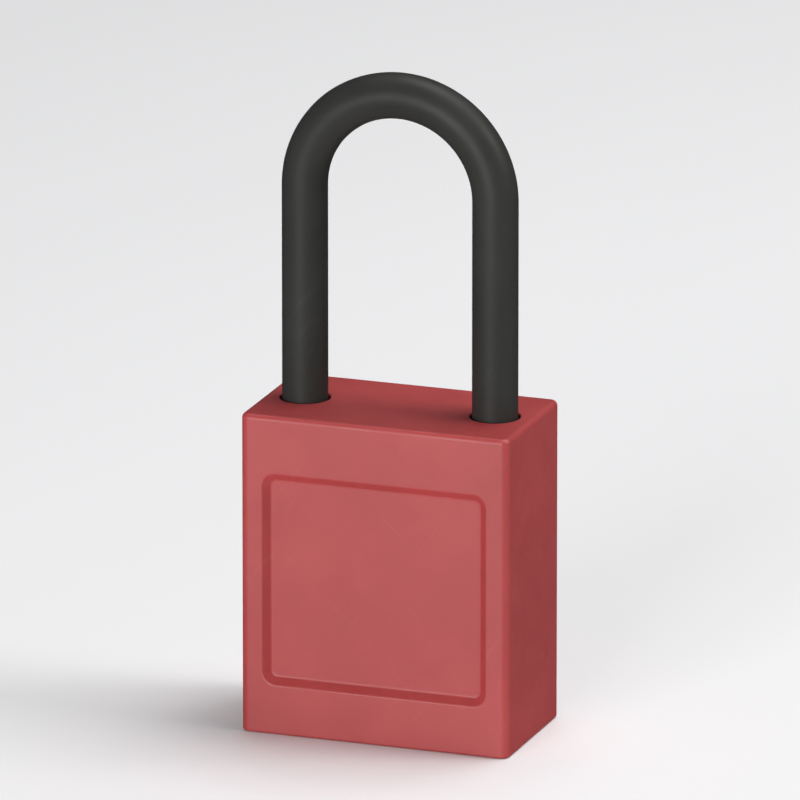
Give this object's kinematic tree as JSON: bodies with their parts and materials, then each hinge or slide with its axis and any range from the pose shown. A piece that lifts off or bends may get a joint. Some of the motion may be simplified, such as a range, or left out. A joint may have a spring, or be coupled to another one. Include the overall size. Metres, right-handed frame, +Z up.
{
  "type": "safety padlock",
  "caption": "Lockout padlock: a rectangular red nylon body, a round black nylon shackle held by two locking balls, and a pin-tumbler cylinder keyed from below.",
  "frame": {"origin": "centre of the body's underside", "axes": "+Z up, from the keyed underside to the shackle; X from the long leg to the short leg; -Y is the front face with the label panel"},
  "size_m": [0.038, 0.021, 0.0907],
  "materials": {
    "red_nylon": "satin moulded nylon",
    "black_nylon": "satin moulded nylon",
    "grey_nylon": "matt moulded nylon",
    "cast_zinc": "bare zinc die casting",
    "brass": "machined",
    "steel": "plated"
  },
  "bodies": {
    "body": {"body_shell": "red_nylon", "bottom_cap": "red_nylon", "cap_screw_1": "steel", "cap_screw_2": "steel", "inner_carrier": "grey_nylon", "locking_block": "cast_zinc", "shackle_retainer": "steel", "cylinder_screw": "steel", "cylinder_housing": "cast_zinc", "chamber_cover": "brass", "shackle_spring": "steel", "driver_pin_1": "steel", "pin_spring_1": "steel", "driver_pin_2": "steel", "pin_spring_2": "steel", "driver_pin_3": "steel", "pin_spring_3": "steel", "driver_pin_4": "steel", "pin_spring_4": "steel", "driver_pin_5": "steel", "pin_spring_5": "steel", "driver_pin_6": "steel", "pin_spring_6": "steel"},
    "plug": {"plug": "brass", "plug_clip": "steel", "cam": "cast_zinc", "key_pin_1": "brass", "key_pin_2": "brass", "key_pin_3": "brass", "key_pin_4": "brass", "key_pin_5": "brass", "key_pin_6": "brass"},
    "shackle": {"shackle": "black_nylon"},
    "ball_short": {"locking_ball_short": "steel"},
    "ball_long": {"locking_ball_long": "steel"}
  },
  "joints": [
    {"name": "plug_turn", "type": "hinge", "parent": "body", "child": "plug", "pos_m": [0, 0, 0], "axis": [0, 0, 1], "range_deg": [0, 90]},
    {"name": "shackle_lift", "type": "slide", "parent": "body", "child": "shackle", "axis": [0, 0, 1], "range_m": [0, 0.0098], "deforming": ["shackle_spring"]},
    {"name": "ball_short_slide", "type": "slide", "parent": "body", "child": "ball_short", "axis": [-1, 0, 0], "range_m": [0, 0.0042]},
    {"name": "ball_long_slide", "type": "slide", "parent": "body", "child": "ball_long", "axis": [1, 0, 0], "range_m": [0, 0.0042]}
  ],
  "couplings": [
    {"joint": "shackle_lift", "follows": "plug_turn", "m_per_rad": 0.0062388},
    {"joint": "ball_short_slide", "follows": "plug_turn", "m_per_rad": 0.0026738},
    {"joint": "ball_long_slide", "follows": "plug_turn", "m_per_rad": 0.0026738}
  ]
}
